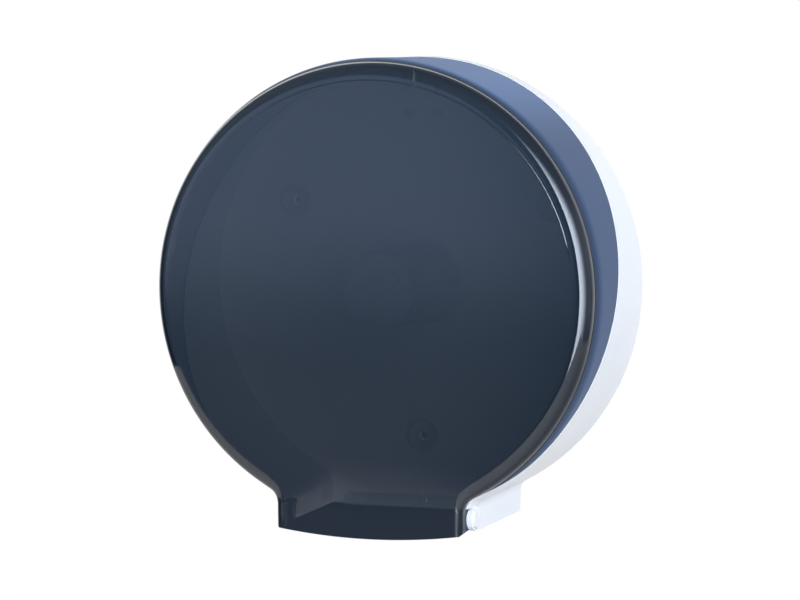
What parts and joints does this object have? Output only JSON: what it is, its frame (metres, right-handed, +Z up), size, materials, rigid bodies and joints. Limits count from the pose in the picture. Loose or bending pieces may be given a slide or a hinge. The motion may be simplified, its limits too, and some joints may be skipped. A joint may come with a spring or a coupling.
{
  "type": "jumbo toilet roll dispenser",
  "caption": "Round wall-mounted dispenser for a jumbo toilet roll, with a smoked hinged front cover that locks at the top and a toothed paper outlet below.",
  "frame": {"origin": "centre of the circle of wall screw holes, on the wall plane at the case's axis", "axes": "+Y points into the wall, so the front cover faces -Y; +Z is up and +X is to the right for someone facing the front"},
  "size_m": [0.33, 0.1327, 0.339],
  "materials": {
    "white_plastic": "gloss",
    "smoked_plastic": "gloss",
    "grey_plastic": "satin",
    "nylon": "satin",
    "lock_metal": "polished",
    "steel": "zinc plated",
    "blade_steel": "brushed"
  },
  "bodies": {
    "base": {"base_shell": "white_plastic", "tear_blade": "blade_steel", "tear_blade_rivets": "steel", "catch_bracket": "white_plastic", "catch_screws": "steel", "hinge_pin_left": "white_plastic", "hinge_pin_right": "white_plastic", "hinge_clip_left": "steel", "hinge_clip_right": "steel", "spindle_post": "grey_plastic", "spindle_post_screws": "steel", "drag_spring": "steel", "end_washer": "steel", "end_screw": "steel"},
    "cover": {"cover_shell": "smoked_plastic", "lock_bush": "lock_metal", "lock_nut": "lock_metal", "hinge_bush_left": "nylon", "hinge_bush_right": "nylon"},
    "lock": {"lock_barrel": "lock_metal", "lock_cam": "steel", "lock_cam_screw": "steel"},
    "hub": {"spindle_hub": "grey_plastic", "hub_bush_rear": "nylon", "hub_bush_front": "nylon", "hub_cap": "grey_plastic"}
  },
  "joints": [
    {"name": "cover_hinge", "type": "hinge", "parent": "base", "child": "cover", "pos_m": [0, -0.1032, -0.1594], "axis": [1, 0, 0], "range_deg": [0, 110]},
    {"name": "lock_turn", "type": "hinge", "parent": "cover", "child": "lock", "pos_m": [0, -0.03, 0.15], "axis": [0, 0, 1], "range_deg": [0, 90]},
    {"name": "hub_spin", "type": "hinge", "parent": "base", "child": "hub", "pos_m": [0, 0, 0], "axis": [0, 1, 0], "continuous": true}
  ]
}
